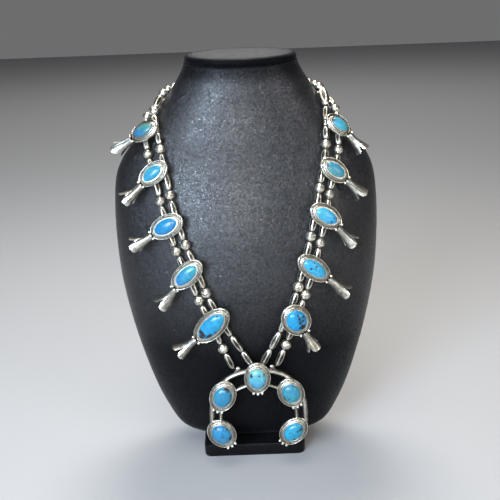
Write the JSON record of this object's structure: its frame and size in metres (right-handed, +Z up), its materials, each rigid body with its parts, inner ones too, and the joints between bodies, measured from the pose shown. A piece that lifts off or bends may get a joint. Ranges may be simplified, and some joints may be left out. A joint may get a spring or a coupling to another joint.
{
  "type": "squash blossom necklace on a neck bust",
  "caption": "Silver bead necklace with turquoise plates, trumpet-shaped blossoms and a horseshoe pendant, laid on a plain padded neck bust with a foot slab.",
  "frame": {"origin": "middle of the foot slab's underside", "axes": "+X to the viewer's right, -Y towards the viewer, +Z up"},
  "size_m": [0.212, 0.116, 0.322],
  "materials": {
    "leatherette": "black pebble-grained leatherette with a soft grey sheen",
    "silver": "worn bright silver with dark oxidised recesses",
    "turquoise": "polished turquoise with dark matrix specks",
    "thread": "dark twisted thread"
  },
  "bodies": {
    "root": {"bust_body": "leatherette", "neck_cap": "leatherette", "base_foot": "leatherette", "naja_frame": "silver", "naja_stone_1": "turquoise", "naja_stone_2": "turquoise", "naja_stone_3": "turquoise", "naja_stone_4": "turquoise", "naja_stone_5": "turquoise", "blossom_left_1": "silver", "blossom_left_2": "silver", "blossom_left_3": "silver", "blossom_left_4": "silver", "blossom_left_5": "silver", "blossom_right_1": "silver", "blossom_right_2": "silver", "blossom_right_3": "silver", "blossom_right_4": "silver", "blossom_right_5": "silver", "stone_left_1": "turquoise", "stone_left_2": "turquoise", "stone_left_3": "turquoise", "stone_left_4": "turquoise", "stone_left_5": "turquoise", "stone_right_1": "turquoise", "stone_right_2": "turquoise", "stone_right_3": "turquoise", "stone_right_4": "turquoise", "stone_right_5": "turquoise", "inner_beads_left": "silver", "inner_beads_right": "silver", "outer_beads_left": "silver", "outer_beads_right": "silver", "inner_thread": "thread", "outer_thread": "thread", "clasp": "silver"}
  },
  "joints": []
}
